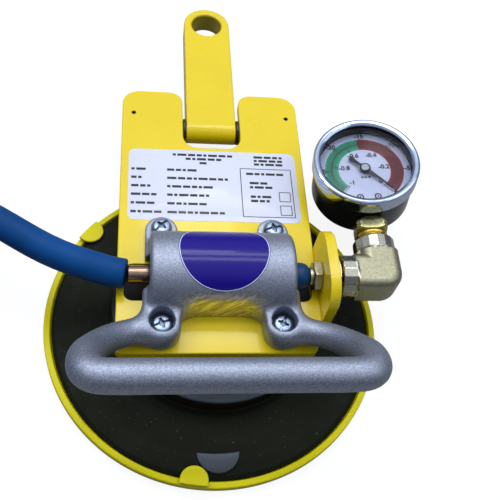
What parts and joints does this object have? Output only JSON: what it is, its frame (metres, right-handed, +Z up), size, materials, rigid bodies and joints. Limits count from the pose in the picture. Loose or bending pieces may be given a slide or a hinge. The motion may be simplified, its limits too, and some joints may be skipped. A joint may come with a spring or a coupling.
{
  "type": "vacuum lifter",
  "caption": "Compressed-air vacuum lifter: flat rubber cup in a clip-on cover, cast handle over a vacuum generator, bent frame plate, hinged hoist bail, vacuum gauge and coiled air hose.",
  "frame": {"origin": "centre of the round pad, on the surface that the pad cover stands on", "axes": "+X along the handle's bar and the air line, towards the gauge; +Y along the frame plate towards the bail's eye; +Z up, away from the pad"},
  "size_m": [0.3995, 0.2707, 0.0746],
  "materials": {
    "cover_plastic": "satin yellow moulding",
    "pad_rubber": "matt black moulded rubber",
    "hub_steel": "dark grey coat",
    "zinc_plate": "bright zinc plate",
    "brass": "turned brass",
    "yellow_coat": "gloss yellow powder coat",
    "steel": "turned steel",
    "black_nylon": "black nylon",
    "cast_aluminium": "bead-blasted casting",
    "blue_hose": "matt blue hose",
    "nickel_brass": "nickel-plated forging",
    "gauge_black": "gloss black enamel",
    "chrome": "polished",
    "lens_glass": "clear window",
    "dial_white": "printed white dial",
    "pointer_black": "matt black"
  },
  "bodies": {
    "lifter": {"pad_cover": "cover_plastic", "vacuum_pad": "pad_rubber", "pad_hub": "hub_steel", "hub_spacer_front_left": "zinc_plate", "hub_spacer_rear_left": "zinc_plate", "hub_spacer_front_right": "zinc_plate", "hub_spacer_rear_right": "zinc_plate", "vacuum_port": "brass", "frame_plate": "yellow_coat", "pivot_lug_left": "yellow_coat", "pivot_lug_right": "yellow_coat", "pin_grub_screw_left": "steel", "pin_grub_screw_right": "steel", "pivot_pin": "steel", "pivot_washer_left": "black_nylon", "pivot_washer_right": "black_nylon", "handle_casting": "cast_aluminium", "handle_screw_front_left": "zinc_plate", "handle_screw_rear_left": "zinc_plate", "handle_screw_front_right": "zinc_plate", "handle_screw_rear_right": "zinc_plate", "vacuum_generator": "brass", "generator_seal_left": "pad_rubber", "generator_seal_right": "pad_rubber", "inlet_tube": "brass", "vacuum_sleeve": "blue_hose", "bulkhead_fitting": "brass", "bulkhead_nut": "brass", "elbow_fitting": "nickel_brass", "gauge_stem": "brass", "gauge_case": "gauge_black", "gauge_bezel": "chrome", "gauge_lens": "lens_glass", "gauge_dial": "dial_white", "gauge_movement": "brass", "air_hose": "blue_hose", "hose_coil": "blue_hose", "hose_tail": "blue_hose", "hose_ferrule": "brass", "hose_plug": "steel"},
    "bail": {"lift_bail": "yellow_coat"},
    "pointer": {"gauge_pointer": "pointer_black"}
  },
  "joints": [
    {"name": "bail_pivot", "type": "hinge", "parent": "lifter", "child": "bail", "pos_m": [0, 0.1016, 0.02465], "axis": [1, 0, 0], "range_deg": [-8, 133]},
    {"name": "pointer_turn", "type": "hinge", "parent": "lifter", "child": "pointer", "pos_m": [0.07301, 0.0612, 0.04782], "axis": [-0.1305, 0, 0.9914], "range_deg": [0, 270], "stiffness_Nm_per_rad": 0.0002, "springref_deg": -2.86}
  ]
}
